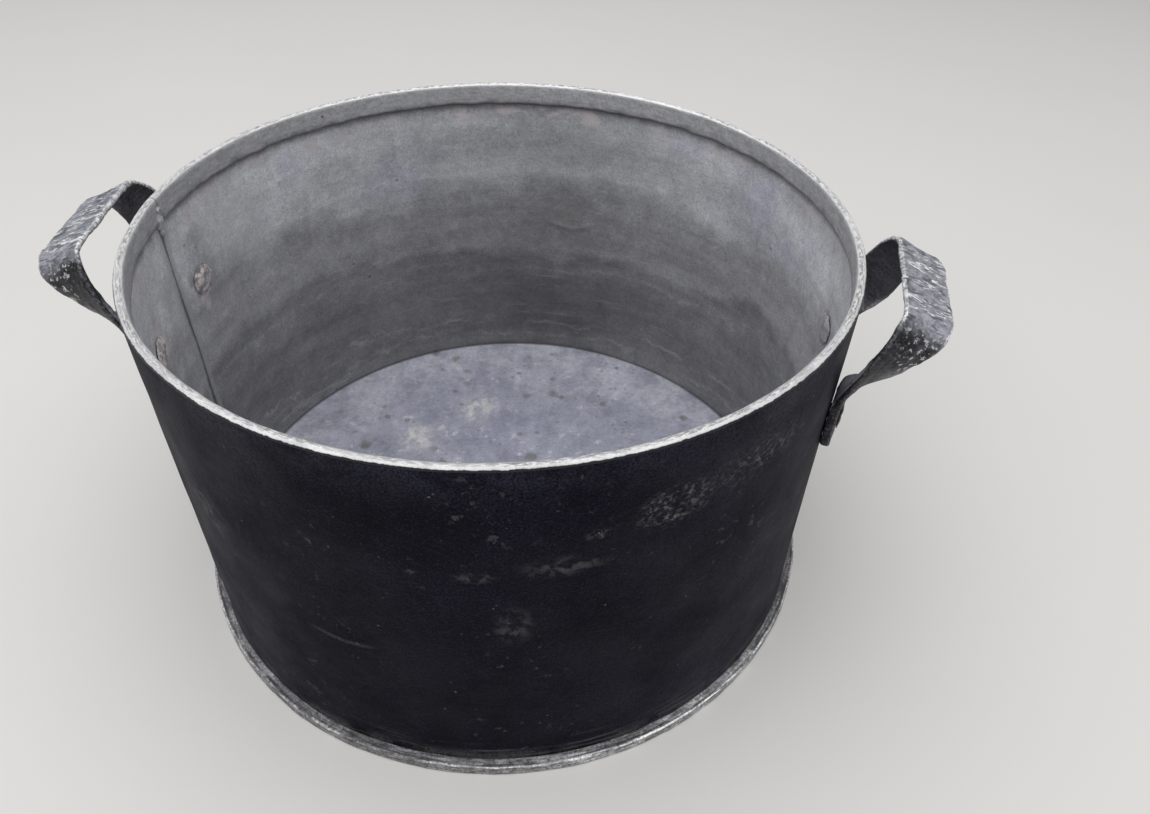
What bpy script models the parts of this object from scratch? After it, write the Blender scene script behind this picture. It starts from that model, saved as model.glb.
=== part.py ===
"""Large hand-made sheet-iron cooking pot with two riveted strap handles.

Metres, +Z up. The origin is the centre of the underside, and the two handles
stand out along +X and -X, both set a little towards -Y as on the real pot.
"""
import math

import bmesh
import bpy
import numpy as np
from mathutils import Matrix, Vector

# Vessel
RIM_RADIUS = 0.200        # outer face of the wall at the rim
FOOT_RADIUS = 0.198       # outer face of the wall at the bottom seam
POT_HEIGHT = 0.236
SHEET = 0.0022            # gauge of the wall and of the bottom
CLEAR = 0.0003            # gap between pieces that touch

# Hem along the rim, folded inwards and hammered down
HEM_DEPTH = 0.0145
HEM_GAP = 0.0008

# Lap seam of the rolled wall
SEAM_OFFSET = 0.0006      # the step of the seam starts this far past the left handle's back tab
SEAM_SLIT = 0.0012        # open slit where the two ends of the hem meet
LAP_LENGTH = 0.018
JOGGLE_LENGTH = 0.012     # the sheet steps outwards over this length before the lap
LAP_MARGIN = 0.016        # the lap stops this far short of the hem and of the bottom seam

# Bottom, folded over the flange at the foot of the wall
FLANGE_REACH = 0.0035
FOLD_ROUND = 0.0009       # rounding of the folded edge

# Strap handles
HANDLE_ANGLE = math.radians(6.85)   # both handles are set this far towards -Y
STRAP_WIDTH = 0.0288      # at the grip
STRAP_THICKNESS = 0.0034
STRAP_EDGE = 0.0010       # worn edges of the strap
TAB_WIDTH = 0.0235
TAB_THICKNESS = 0.0052
TAB_SPREAD = 0.0395       # middle of the handle to the middle of a tab, along the wall
TAB_BELOW = 0.0135        # rivet head down to the tab's rounded end
TAB_ABOVE = 0.0055        # rivet head up to where the strap leaves the wall
TAB_LIFT = 0.0009         # the strap is this far off the wall by then
GRIP_REACH = 0.0309       # rim to the middle of the strap at the grip
GRIP_DROP = 0.0072        # rim down to the middle of the strap at the grip
GRIP_HALF = 0.038         # middle of the grip to its corners
GRIP_BEND = 0.009         # the corners take up this much of the grip
LEG_BOW = 0.0067          # the legs bow outwards by this much on their way up
GRIP_ANGLE = math.radians(68.2)
# Strap from tab to corner: share of reach, of rise, of twist, of the bow and of the width gained
STRAP_SHARES = (
    (0.310, 0.315, 0.41, 0.70, 0.50),
    (0.675, 0.690, 0.75, 1.00, 0.76),
    (0.965, 0.977, 1.00, 0.00, 1.00),
)
STRAP_STEPS = 8           # cross-sections from one station to the next

# Rivets
RIVET_DROP = 0.069        # rim to the rivets
SHANK_RADIUS = 0.0042
HEAD_RADIUS = 0.0085
HEAD_HEIGHT = 0.0013      # hammered almost flat against the tab
HEAD_RIM = 0.0006         # upright edge of the flattened head
PEEN_RADIUS = 0.0095
PEEN_HEIGHT = 0.0022

# Facets
SEGMENTS = 96
RIVET_SEGMENTS = 20

RIVET_Z = POT_HEIGHT - RIVET_DROP
TAB_EDGE = TAB_SPREAD - TAB_WIDTH / 2
SEAM_ANGLE = (math.pi + HANDLE_ANGLE
              - (TAB_EDGE - SEAM_OFFSET - JOGGLE_LENGTH - SEAM_SLIT) / RIM_RADIUS)
SEAM_TOP = 3 * SHEET + 2 * CLEAR
FLANGE_RADIUS = FOOT_RADIUS + FLANGE_REACH
RIM_THICKNESS = 2 * SHEET + HEM_GAP


def wall_radius(z):
    """Radius of the wall's outer face at height z."""
    share = (z - SHEET) / (POT_HEIGHT - SHEET)
    return FOOT_RADIUS + (RIM_RADIUS - FOOT_RADIUS) * share


def around(radius, facets):
    """Corner radius of a faceted hole that clears a round of this radius."""
    return radius / math.cos(math.pi / facets)


def arc(centre, radius, start, end, steps):
    """Points (r, z) along an arc, angles in degrees from +r towards +z."""
    points = []
    for i in range(steps + 1):
        a = math.radians(start + (end - start) * i / steps)
        points.append((centre[0] + radius * math.cos(a), centre[1] + radius * math.sin(a)))
    return points


def finish_mesh(bm, name):
    """Turn a bmesh into a smooth-shaded mesh with its faces pointing out."""
    bmesh.ops.recalc_face_normals(bm, faces=bm.faces)
    mesh = bpy.data.meshes.new(name)
    bm.to_mesh(mesh)
    bm.free()
    mesh.shade_smooth()
    mesh.set_sharp_from_angle(angle=math.radians(35))
    return mesh


def add_object(name, mesh, material, parent):
    obj = bpy.data.objects.new(name, mesh)
    bpy.context.scene.collection.objects.link(obj)
    if material:
        mesh.materials.append(material)
    obj.parent = parent
    return obj


def add_empty(name, parent, angle):
    empty = bpy.data.objects.new(name, None)
    bpy.context.scene.collection.objects.link(empty)
    empty.parent = parent
    empty.rotation_euler = (0, 0, angle)
    return empty


def make_material(name, colour, roughness, metallic):
    material = bpy.data.materials.new(name)
    material.use_nodes = True
    shader = material.node_tree.nodes["Principled BSDF"]
    shader.inputs["Base Color"].default_value = (*colour, 1.0)
    shader.inputs["Roughness"].default_value = roughness
    shader.inputs["Metallic"].default_value = metallic
    return material


def turned(profile, segments):
    """Closed body turned about Z from (r, z) points; the two end points lie on the axis."""
    bm = bmesh.new()
    rings = []
    for r, z in profile:
        if r == 0:
            rings.append([bm.verts.new((0, 0, z))])
            continue
        ring = []
        for i in range(segments):
            a = 2 * math.pi * i / segments
            ring.append(bm.verts.new((r * math.cos(a), r * math.sin(a), z)))
        rings.append(ring)
    for low, high in zip(rings, rings[1:]):
        for i in range(segments):
            j = (i + 1) % segments
            if len(low) == 1:
                bm.faces.new((low[0], high[j], high[i]))
            elif len(high) == 1:
                bm.faces.new((low[i], low[j], high[0]))
            else:
                bm.faces.new((low[i], low[j], high[j], high[i]))
    return bm


# Wall

def lap_heights():
    """Heights at which the lap starts to step out, is full, and comes back in."""
    low = SEAM_TOP + LAP_MARGIN / 4
    high = POT_HEIGHT - HEM_DEPTH - LAP_MARGIN / 4
    return low, low + LAP_MARGIN, high - LAP_MARGIN, high


def wall_profile():
    """Section of the wall: (r, z, share of the lap's step) from the foot, outside, over the hem."""
    flange_low = SHEET + CLEAR
    flange_high = flange_low + SHEET
    low, full_low, full_high, high = lap_heights()
    steps = ((low, 0.0), (full_low, 1.0), (full_high, 1.0), (high, 0.0))
    points = [
        (FOOT_RADIUS - SHEET, flange_low, 0.0),
        (FLANGE_RADIUS, flange_low, 0.0),
        (FLANGE_RADIUS, flange_high, 0.0),
        (wall_radius(flange_high), flange_high, 0.0),
    ]
    points += [(wall_radius(z), z, lift) for z, lift in steps]
    bend = RIM_THICKNESS / 2
    bend_z = POT_HEIGHT - bend
    points += [(r, z, 0.0) for r, z in arc((RIM_RADIUS - bend, bend_z), bend, 0, 180, 6)]
    leaf = RIM_RADIUS - RIM_THICKNESS
    hem_low = POT_HEIGHT - HEM_DEPTH
    points += [(leaf, hem_low, 0.0), (leaf + SHEET, hem_low, 0.0)]
    points += [(leaf + SHEET, bend_z, 0.0), (RIM_RADIUS - SHEET, bend_z, 0.0)]
    points += [(wall_radius(z) - SHEET, z, lift) for z, lift in reversed(steps)]
    return points


def make_wall(material, parent):
    """Sheet rolled round with its ends lapped, hemmed at the rim and flanged at the foot."""
    profile = wall_profile()
    step_out = SHEET + CLEAR
    sweep = 2 * math.pi - SEAM_SLIT / RIM_RADIUS
    joggle = JOGGLE_LENGTH / RIM_RADIUS
    lap = LAP_LENGTH / RIM_RADIUS
    stations = [((sweep - joggle) * i / SEGMENTS, 0.0) for i in range(SEGMENTS + 1)]
    for i in range(1, 5):
        share = i / 4
        stations.append((sweep - joggle + joggle * share, share * share * (3 - 2 * share)))
    bm = bmesh.new()

    def place(point, turn, lift):
        r = point[0] + point[2] * lift * step_out
        a = SEAM_ANGLE + turn
        return bm.verts.new((r * math.cos(a), r * math.sin(a), point[1]))

    rings = [[place(p, turn, lift) for p in profile] for turn, lift in stations]
    count = len(profile)
    for near, far in zip(rings, rings[1:]):
        for i in range(count):
            j = (i + 1) % count
            bm.faces.new((near[i], near[j], far[j], far[i]))
    bm.faces.new(rings[0])

    # The lap runs on from the middle of the end section only
    lifted = [i for i, p in enumerate(profile) if p[2] == 1.0]
    outer_low, outer_high, inner_high, inner_low = lifted
    end = rings[-1]
    bm.faces.new(end[outer_high:inner_high + 1])
    bm.faces.new(end[inner_low:] + end[:outer_low + 1])
    tongue = [end[i] for i in lifted]
    for k in range(1, 4):
        turn = sweep + (SEAM_SLIT / RIM_RADIUS + lap) * k / 3
        ring = [place(profile[i], turn, 1.0) for i in lifted]
        for i in range(4):
            j = (i + 1) % 4
            bm.faces.new((tongue[i], tongue[j], ring[j], ring[i]))
        tongue = ring
    bm.faces.new(tongue)
    return add_object("side_wall", finish_mesh(bm, "side_wall"), material, parent)


# Bottom

def make_bottom(material, parent):
    """Flat disc whose edge is folded up and over the wall's flange."""
    pocket = around(FLANGE_RADIUS + CLEAR, SEGMENTS)
    outer = pocket + SHEET
    grip = around(wall_radius(SEAM_TOP) + CLEAR, SEGMENTS)
    lip_low = SEAM_TOP - SHEET
    b = FOLD_ROUND
    profile = [(0, 0)]
    profile += arc((outer - b, b), b, -90, 0, 2)
    profile += arc((outer - b, SEAM_TOP - b), b, 0, 90, 2)
    profile += [(grip, SEAM_TOP), (grip, lip_low), (pocket, lip_low), (pocket, SHEET), (0, SHEET)]
    mesh = finish_mesh(turned(profile, SEGMENTS), "bottom_pan")
    return add_object("bottom_pan", mesh, material, parent)


# Handles

def tab_frame():
    """Outward and sideways directions of the tab on the -Y side of a handle along +X."""
    a = TAB_SPREAD / RIM_RADIUS
    return Vector((math.cos(a), -math.sin(a), 0)), Vector((-math.sin(a), -math.cos(a), 0))


def strap_stations():
    """Middle, width direction, half width and thickness of the strap, from a tab's end to the grip."""
    outward, sideways = tab_frame()
    seat = CLEAR + TAB_THICKNESS / 2
    half_tab = TAB_WIDTH / 2
    half_strap = STRAP_WIDTH / 2

    def on_wall(z, lift):
        place = outward * (wall_radius(z) + seat + lift)
        return Vector((place.x, place.y, z))

    end_z = RIVET_Z - HEAD_RADIUS - TAB_BELOW
    flat_z = RIVET_Z + HEAD_RADIUS
    top_z = flat_z + TAB_ABOVE
    stations = []
    for angle in (78, 60, 40, 20, 0):
        a = math.radians(angle)
        stations.append((on_wall(end_z + half_tab * (1 - math.sin(a)), 0), sideways,
                         half_tab * math.cos(a), TAB_THICKNESS))
    stations.append((on_wall(flat_z, 0), sideways, half_tab, TAB_THICKNESS))
    stations.append((on_wall(top_z, TAB_LIFT), sideways, half_tab, TAB_THICKNESS))
    grip_z = POT_HEIGHT - GRIP_DROP
    corner_y = -GRIP_HALF
    course = [(*row, -(TAB_SPREAD + LEG_BOW * row[3]) if row[3] > 0 else corner_y) for row in STRAP_SHARES]
    course += [(1.0, 1.0, 1.0, 0.0, 1.0, corner_y + GRIP_BEND), (1.0, 1.0, 1.0, 0.0, 1.0, 0.0)]
    for reach, rise, twist, bow, gain, y in course:
        z = top_z + (grip_z - top_z) * rise
        tilt = GRIP_ANGLE * (0.7 + 0.3 * reach)
        turn = twist * math.pi / 2
        upward = Vector((-math.sin(tilt), 0, math.cos(tilt)))
        width = sideways * math.cos(turn) + upward * math.sin(turn)
        half = half_tab + (half_strap - half_tab) * gain
        thick = TAB_THICKNESS + (STRAP_THICKNESS - TAB_THICKNESS) * gain
        stations.append((Vector((RIM_RADIUS + GRIP_REACH * reach, y, z)), width.normalized(), half, thick))
    return stations


def smooth_slopes(values):
    """Slopes for a cubic through the rows of values that never swings past them."""
    steps = np.diff(values, axis=0)
    slopes = np.zeros_like(values)
    before, after = steps[:-1], steps[1:]
    same = before * after > 0
    total = np.where(same, before + after, 1.0)
    slopes[1:-1] = np.where(same, 2 * before * after / total, 0.0)
    slopes[0], slopes[-1] = steps[0], steps[-1]
    return slopes


def strap_sections():
    """Rows of (x, y, z, width x, y, z, half width, thickness) along the whole strap, tab to tab."""
    half = np.array([(*middle, *width, size, thick) for middle, width, size, thick in strap_stations()])
    mirror = half[-2::-1] * (1, -1, 1, 1, -1, 1, 1, 1)
    rows = np.concatenate([half, mirror])
    slopes = smooth_slopes(rows)
    bent = len(half) - len(STRAP_SHARES) - 3
    sections = []
    for i in range(len(rows) - 1):
        straight = i < bent or i >= len(rows) - 1 - bent
        steps = 1 if straight else STRAP_STEPS
        for k in range(steps):
            t = k / steps
            h = 2 * t ** 3 - 3 * t ** 2 + 1
            sections.append(h * rows[i] + (1 - h) * rows[i + 1]
                            + (t ** 3 - 2 * t ** 2 + t) * slopes[i] + (t ** 3 - t ** 2) * slopes[i + 1])
    sections.append(rows[-1])
    return np.array(sections)


def strap_mesh(name):
    """Flat bar swept along the strap's course with its long edges worn round."""
    sections = strap_sections()
    middles = sections[:, :3]
    lengths = np.linalg.norm(np.diff(middles, axis=0), axis=1)
    along = np.gradient(middles, np.concatenate([[0.0], np.cumsum(lengths)]), axis=0)
    bm = bmesh.new()
    rings = []
    for row, direction in zip(sections, along):
        middle = Vector(row[:3])
        forward = Vector(direction).normalized()
        width = Vector(row[3:6])
        width = (width - forward * width.dot(forward)).normalized()
        face = forward.cross(width)
        half, thick = row[6], row[7] / 2
        edge = min(STRAP_EDGE, 0.45 * half, 0.9 * thick)
        outline = [(half - edge, thick), (half, thick - edge), (half, edge - thick), (half - edge, -thick)]
        outline += [(-w, t) for w, t in reversed(outline)]
        rings.append([bm.verts.new(middle + width * w + face * t) for w, t in outline])
    for near, far in zip(rings, rings[1:]):
        for i in range(8):
            j = (i + 1) % 8
            bm.faces.new((near[i], near[j], far[j], far[i]))
    bm.faces.new(rings[0])
    bm.faces.new(rings[-1])
    return finish_mesh(bm, name)


# Rivets

def rivet_place(side):
    """Matrix that lays a piece turned about Z along the rivet's axis; side is -1 or +1 in Y."""
    a = side * TAB_SPREAD / RIM_RADIUS
    axis = Vector((math.cos(a), math.sin(a), 0))
    turn = Vector((0, 0, 1)).rotation_difference(axis).to_matrix().to_4x4()
    return Matrix.Translation((0, 0, RIVET_Z)) @ turn


def rivet_mesh(name):
    """Rivet with a flattened head over the tab and a hammered head inside the wall."""
    wall = wall_radius(RIVET_Z)
    inside = wall - SHEET - CLEAR
    inner_face = math.sqrt(inside ** 2 - PEEN_RADIUS ** 2) - CLEAR
    outer_face = wall + 2 * CLEAR + TAB_THICKNESS
    crown = HEAD_HEIGHT - HEAD_RIM
    dome = (HEAD_RADIUS ** 2 + crown ** 2) / (2 * crown)
    half_angle = math.degrees(math.asin(HEAD_RADIUS / dome))
    profile = [(0, inner_face - PEEN_HEIGHT), (0.6 * PEEN_RADIUS, inner_face - PEEN_HEIGHT),
               (PEEN_RADIUS, inner_face - 0.4 * PEEN_HEIGHT), (PEEN_RADIUS, inner_face),
               (SHANK_RADIUS, inner_face), (SHANK_RADIUS, outer_face), (HEAD_RADIUS, outer_face)]
    profile += arc((0, outer_face + HEAD_HEIGHT - dome), dome, 90 - half_angle, 90, 4)[:-1]
    profile.append((0, outer_face + HEAD_HEIGHT))
    return finish_mesh(turned(profile, RIVET_SEGMENTS), name)


def make_hole(name, parent, side):
    """Cutter for a rivet hole through the tab and the wall."""
    wall = wall_radius(RIVET_Z)
    radius = around(SHANK_RADIUS + CLEAR, RIVET_SEGMENTS)
    reach = 2 * TAB_THICKNESS + 2 * SHEET
    profile = [(0, wall - reach), (radius, wall - reach), (radius, wall + reach), (0, wall + reach)]
    cutter = add_object(name, finish_mesh(turned(profile, RIVET_SEGMENTS), name), None, parent)
    cutter.matrix_local = rivet_place(side)
    cutter.hide_render = True
    cutter.display_type = "WIRE"
    return cutter


def drill(obj, cutter):
    cut = obj.modifiers.new("hole_" + cutter.name, "BOOLEAN")
    cut.operation = "DIFFERENCE"
    cut.solver = "EXACT"
    cut.object = cutter


def make_handle(label, angle, wall, materials, parent):
    """One strap handle with its two rivets, riveted through the wall."""
    seat = add_empty("seat_" + label, parent, angle)
    name = "handle_" + label
    handle = add_object(name, strap_mesh(name), materials["strap"], seat)
    front = -1 if math.cos(angle) > 0 else 1
    for word, side in (("front", front), ("back", -front)):
        hole = make_hole("hole_" + label + "_" + word, seat, side)
        drill(handle, hole)
        drill(wall, hole)
        rivet_name = "rivet_" + label + "_" + word
        rivet = add_object(rivet_name, rivet_mesh(rivet_name), materials["rivet"], seat)
        rivet.matrix_local = rivet_place(side)


def main():
    for obj in list(bpy.data.objects):
        bpy.data.objects.remove(obj, do_unlink=True)
    pot = add_empty("pot", None, 0)
    sooty = make_material("sooty_sheet", (0.045, 0.045, 0.05), 0.75, 0.5)
    worn = make_material("worn_sheet", (0.28, 0.29, 0.31), 0.5, 0.8)
    materials = {
        "strap": make_material("hammered_strap", (0.20, 0.21, 0.24), 0.45, 0.9),
        "rivet": make_material("rivet_iron", (0.10, 0.10, 0.11), 0.6, 0.8),
    }
    wall = make_wall(sooty, pot)
    make_bottom(worn, pot)
    make_handle("right", -HANDLE_ANGLE, wall, materials, pot)
    make_handle("left", math.pi + HANDLE_ANGLE, wall, materials, pot)
    bpy.context.view_layer.update()


main()
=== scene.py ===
import math

import bmesh
import bpy
from mathutils import Matrix, Vector


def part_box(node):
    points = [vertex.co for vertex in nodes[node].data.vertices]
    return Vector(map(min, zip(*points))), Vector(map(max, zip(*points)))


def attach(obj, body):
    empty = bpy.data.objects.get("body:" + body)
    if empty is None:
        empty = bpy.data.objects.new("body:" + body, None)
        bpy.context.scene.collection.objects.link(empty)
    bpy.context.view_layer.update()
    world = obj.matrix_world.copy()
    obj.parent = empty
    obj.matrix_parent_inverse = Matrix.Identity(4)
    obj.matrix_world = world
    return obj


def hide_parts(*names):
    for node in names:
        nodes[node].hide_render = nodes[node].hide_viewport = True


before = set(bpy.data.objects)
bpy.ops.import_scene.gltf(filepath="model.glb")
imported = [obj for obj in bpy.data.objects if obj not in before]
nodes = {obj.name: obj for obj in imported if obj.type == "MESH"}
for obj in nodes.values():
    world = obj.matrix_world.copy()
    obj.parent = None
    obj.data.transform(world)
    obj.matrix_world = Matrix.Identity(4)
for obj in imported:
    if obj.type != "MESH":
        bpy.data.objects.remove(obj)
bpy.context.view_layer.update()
print("frame loaded:", ", ".join(sorted(nodes)))


# Helpers for modelling

smoothAngle = math.radians(40)


def deselectAll():
    if bpy.context.object and bpy.context.object.mode != "OBJECT":
        bpy.ops.object.mode_set(mode="OBJECT")
    bpy.ops.object.select_all(action="DESELECT")


def makeActive(piece):
    deselectAll()
    piece.select_set(True)
    bpy.context.view_layer.objects.active = piece


def startEdit(piece, mode="VERT"):
    makeActive(piece)
    bpy.ops.object.mode_set(mode="EDIT")
    bpy.ops.mesh.select_mode(type=mode)
    bpy.ops.mesh.select_all(action="DESELECT")


def endEdit():
    bpy.ops.object.mode_set(mode="OBJECT")


def pickVerts(piece, test):
    bm = bmesh.from_edit_mesh(piece.data)
    bpy.ops.mesh.select_all(action="DESELECT")
    for vert in bm.verts:
        if test(vert.co):
            vert.select_set(True)
    bm.select_flush_mode()
    bmesh.update_edit_mesh(piece.data)


def pickFaces(piece, test):
    bm = bmesh.from_edit_mesh(piece.data)
    bpy.ops.mesh.select_all(action="DESELECT")
    for face in bm.faces:
        if test(face.calc_center_median(), face.normal):
            face.select_set(True)
    bm.select_flush_mode()
    bmesh.update_edit_mesh(piece.data)


def radiusOf(place):
    return math.hypot(place.x, place.y)


def angleOf(place, start=0.0):
    return (math.degrees(math.atan2(place.y, place.x)) - start) % 360.0


def applyModifier(piece, modifier):
    makeActive(piece)
    bpy.ops.object.modifier_apply(modifier=modifier.name)


# A section drawn vertex by vertex at one angle and spun round the pot's axis
def spinSection(name, section, columns, startAngle):
    a = math.radians(startAngle)
    out = Vector((math.cos(a), math.sin(a), 0.0))
    deselectAll()
    r, z = section[0]
    bpy.ops.mesh.primitive_plane_add(size=0.001, location=(0, 0, 0))
    piece = bpy.context.object
    piece.name = piece.data.name = name
    bpy.ops.object.mode_set(mode="EDIT")
    bpy.ops.mesh.select_mode(type="VERT")
    bpy.ops.mesh.select_all(action="SELECT")
    bpy.ops.mesh.merge(type="CENTER")
    bpy.ops.transform.translate(value=out * r + Vector((0, 0, z)))
    for rNext, zNext in section[1:]:
        step = out * (rNext - r) + Vector((0, 0, zNext - z))
        bpy.ops.mesh.extrude_vertices_move(TRANSFORM_OT_translate={"value": step})
        r, z = rNext, zNext
    bpy.ops.mesh.select_all(action="SELECT")
    bpy.ops.mesh.spin(steps=columns, angle=math.tau, center=(0, 0, 0), axis=(0, 0, 1))
    bpy.ops.mesh.select_all(action="SELECT")
    bpy.ops.mesh.remove_doubles(threshold=0.00001)
    bpy.ops.mesh.normals_make_consistent(inside=False)
    endEdit()
    return piece


def stepsBetween(first, last, size):
    count = max(1, round(math.hypot(last[0] - first[0], last[1] - first[1]) / size))
    return [(first[0] + (last[0] - first[0]) * i / count, first[1] + (last[1] - first[1]) * i / count)
            for i in range(1, count + 1)]


def roundOff(centre, radius, start, end, count):
    return [(centre[0] + radius * math.cos(math.radians(start + (end - start) * i / count)),
             centre[1] + radius * math.sin(math.radians(start + (end - start) * i / count)))
            for i in range(count + 1)]


# The whole pot is a little out of true: every piece gets the same slow shift, so nothing comes apart
trueness = {"slowSize": 0.21, "slowShift": 0.0026, "dentSize": 0.052, "dentShift": 0.0011}


def makeClouds(name, size, depth):
    clouds = bpy.data.textures.new(name, "CLOUDS")
    clouds.noise_basis = "ORIGINAL_PERLIN"
    clouds.noise_scale = size
    clouds.noise_depth = depth
    return clouds


cloudsSlow = makeClouds("slowBend", trueness["slowSize"], 0)
cloudsDent = makeClouds("softDents", trueness["dentSize"], 1)


def shiftPiece(piece, clouds, direction, strength, group=""):
    shift = piece.modifiers.new("shift" + direction, "DISPLACE")
    shift.texture = clouds
    shift.texture_coords = "LOCAL"
    shift.direction = direction
    shift.mid_level = 0.5
    shift.strength = strength
    shift.vertex_group = group
    applyModifier(piece, shift)


def bendOutOfTrue(piece):
    shiftPiece(piece, cloudsSlow, "X", trueness["slowShift"])
    shiftPiece(piece, cloudsSlow, "Y", -trueness["slowShift"])
    shiftPiece(piece, cloudsDent, "X", trueness["dentShift"])
    shiftPiece(piece, cloudsDent, "Y", trueness["dentShift"])


# One even closed skin over all of a piece, with its edges softened
def evenSkin(piece, grain, rounds):
    skin = piece.modifiers.new("skin", "REMESH")
    skin.mode = "VOXEL"
    skin.voxel_size = grain
    skin.use_smooth_shade = True
    applyModifier(piece, skin)
    soften = piece.modifiers.new("soften", "SMOOTH")
    soften.factor = 0.5
    soften.iterations = rounds
    applyModifier(piece, soften)


def weighVerts(piece, name, weight):
    group = piece.vertex_groups.new(name=name)
    for vert in piece.data.vertices:
        share = weight(vert.co)
        if share > 0:
            group.add([vert.index], share, "REPLACE")
    return name


# A number kept on every vertex before the metal is beaten, so that a finish follows the sheet
def keepValue(piece, name, value):
    layer = piece.data.attributes.new(name, "FLOAT", "POINT")
    layer.data.foreach_set("value", [value(vert.co) for vert in piece.data.vertices])


# Helpers for materials, each working on the material that was begun last

bench = {}


def beginMaterial(name):
    bench["material"] = bpy.data.materials.new(name)
    bench["material"].use_nodes = True
    bench["tree"] = bench["material"].node_tree
    bench["spots"] = placeCoords()


def putNode(kind, **values):
    node = bench["tree"].nodes.new(kind)
    for key, value in values.items():
        if hasattr(node, key) and key not in node.inputs:
            setattr(node, key, value)
        else:
            node.inputs[key].default_value = value
    return node


def link(source, target):
    bench["tree"].links.new(source, target)


# A number or a colour is set on a socket, and anything else is linked to it
def feed(value, socket):
    if isinstance(value, (int, float)):
        socket.default_value = value
    elif isinstance(value, tuple):
        socket.default_value = (*value, 1.0)
    else:
        link(value, socket)


# Object coordinates stretched per axis, so that noise on them makes spots, rings or runs
def placeCoords(scale=(1, 1, 1), shift=(0, 0, 0)):
    mapping = putNode("ShaderNodeMapping", Scale=scale, Location=shift)
    link(putNode("ShaderNodeTexCoord").outputs["Object"], mapping.inputs["Vector"])
    return mapping.outputs["Vector"]


def noiseOn(size, detail=4.0, rough=0.55, distort=0.0, on=None):
    noise = putNode("ShaderNodeTexNoise", Scale=size, Detail=detail, Roughness=rough, Distortion=distort)
    link(bench["spots"] if on is None else on, noise.inputs["Vector"])
    return noise.outputs["Fac"]


def cellsOn(size):
    cells = putNode("ShaderNodeTexVoronoi", Scale=size, feature="F1")
    link(bench["spots"], cells.inputs["Vector"])
    return cells.outputs["Distance"]


def stretch(value, low, high, toLow=0.0, toHigh=1.0, smooth=True):
    ramp = putNode("ShaderNodeMapRange", interpolation_type="SMOOTHSTEP" if smooth else "LINEAR")
    for name, number in (("From Min", low), ("From Max", high), ("To Min", toLow), ("To Max", toHigh)):
        ramp.inputs[name].default_value = number
    link(value, ramp.inputs["Value"])
    return ramp.outputs["Result"]


# Noise of one grain (size, detail, roughness, distortion) stretched between two levels
def blotches(grain, low, high, toLow=0.0, toHigh=1.0, on=None):
    return stretch(noiseOn(*grain, on=on), low, high, toLow, toHigh)


# The same noise, swinging a value evenly between two others
def sway(grain, toLow, toHigh, on=None):
    return stretch(noiseOn(*grain, on=on), 0.3, 0.7, toLow, toHigh, False)


def combine(operation, first, second):
    node = putNode("ShaderNodeMath", operation=operation)
    feed(first, node.inputs[0])
    feed(second, node.inputs[1])
    return node.outputs["Value"]


def times(first, second):
    return combine("MULTIPLY", first, second)


def gapTo(value, place):
    return combine("ABSOLUTE", combine("SUBTRACT", value, place), 0.0)


def blend(share, first, second, mode="MIX"):
    node = putNode("ShaderNodeMix", data_type="RGBA", blend_type=mode)
    colours = [socket for socket in node.inputs if socket.type == "RGBA"]
    feed(share, node.inputs["Factor"])
    feed(first, colours[0])
    feed(second, colours[1])
    return [socket for socket in node.outputs if socket.type == "RGBA"][0]


def shade(colour, value):
    grey = putNode("ShaderNodeCombineColor")
    for socket in grey.inputs:
        link(value, socket)
    return blend(1.0, colour, grey.outputs["Color"], "MULTIPLY")


# A colour mottled from broad to fine: size, detail and swing of each layer
def mottled(colour, layers):
    for size, detail, swing in layers:
        noise = noiseOn(size, detail, 0.6)
        colour = shade(colour, stretch(noise, 0.25, 0.75, 1.0 - swing, 1.0 + swing, False))
    return colour


def keptValue(name):
    return putNode("ShaderNodeAttribute", attribute_name=name).outputs["Fac"]


def lengthOf(vector):
    length = putNode("ShaderNodeVectorMath", operation="LENGTH")
    link(vector, length.inputs[0])
    return length.outputs["Value"]


def distanceFrom(place, scale=(1, 1, 1)):
    return lengthOf(placeCoords(scale, tuple(-c * s for c, s in zip(place, scale))))


# 1 at a place on the pot, fading to 0 further off
def nearPlace(place, near, far, scale=(1, 1, 1)):
    return stretch(distanceFrom(place, scale), near, far, 1.0, 0.0)


def axisOf(axis):
    split = putNode("ShaderNodeSeparateXYZ")
    link(putNode("ShaderNodeTexCoord").outputs["Object"], split.inputs["Vector"])
    return split.outputs[axis]


def heightOf():
    return axisOf("Z")


def sidewaysOf():
    return combine("ABSOLUTE", axisOf("X"), 0.0)


def radiusNode():
    return lengthOf(placeCoords((1, 1, 0)))


# Colour, roughness, bumps (height, strength and distance of each) and single values for the shader
def finishMaterial(colour, roughness, bumps, values):
    inputs = bench["tree"].nodes["Principled BSDF"].inputs
    feed(colour, inputs["Base Color"])
    feed(roughness, inputs["Roughness"])
    for name, value in values.items():
        feed(value, inputs[name])
    previous = None
    for height, strength, distance in bumps:
        bump = putNode("ShaderNodeBump", Strength=strength, Distance=distance)
        link(height, bump.inputs["Height"])
        if previous:
            link(previous, bump.inputs["Normal"])
        previous = bump.outputs["Normal"]
    if previous:
        link(previous, inputs["Normal"])
    return bench["material"]


def middleOf(nodeName):
    low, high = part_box(nodeName)
    return tuple((a + b) / 2 for a, b in zip(low, high))


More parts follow.
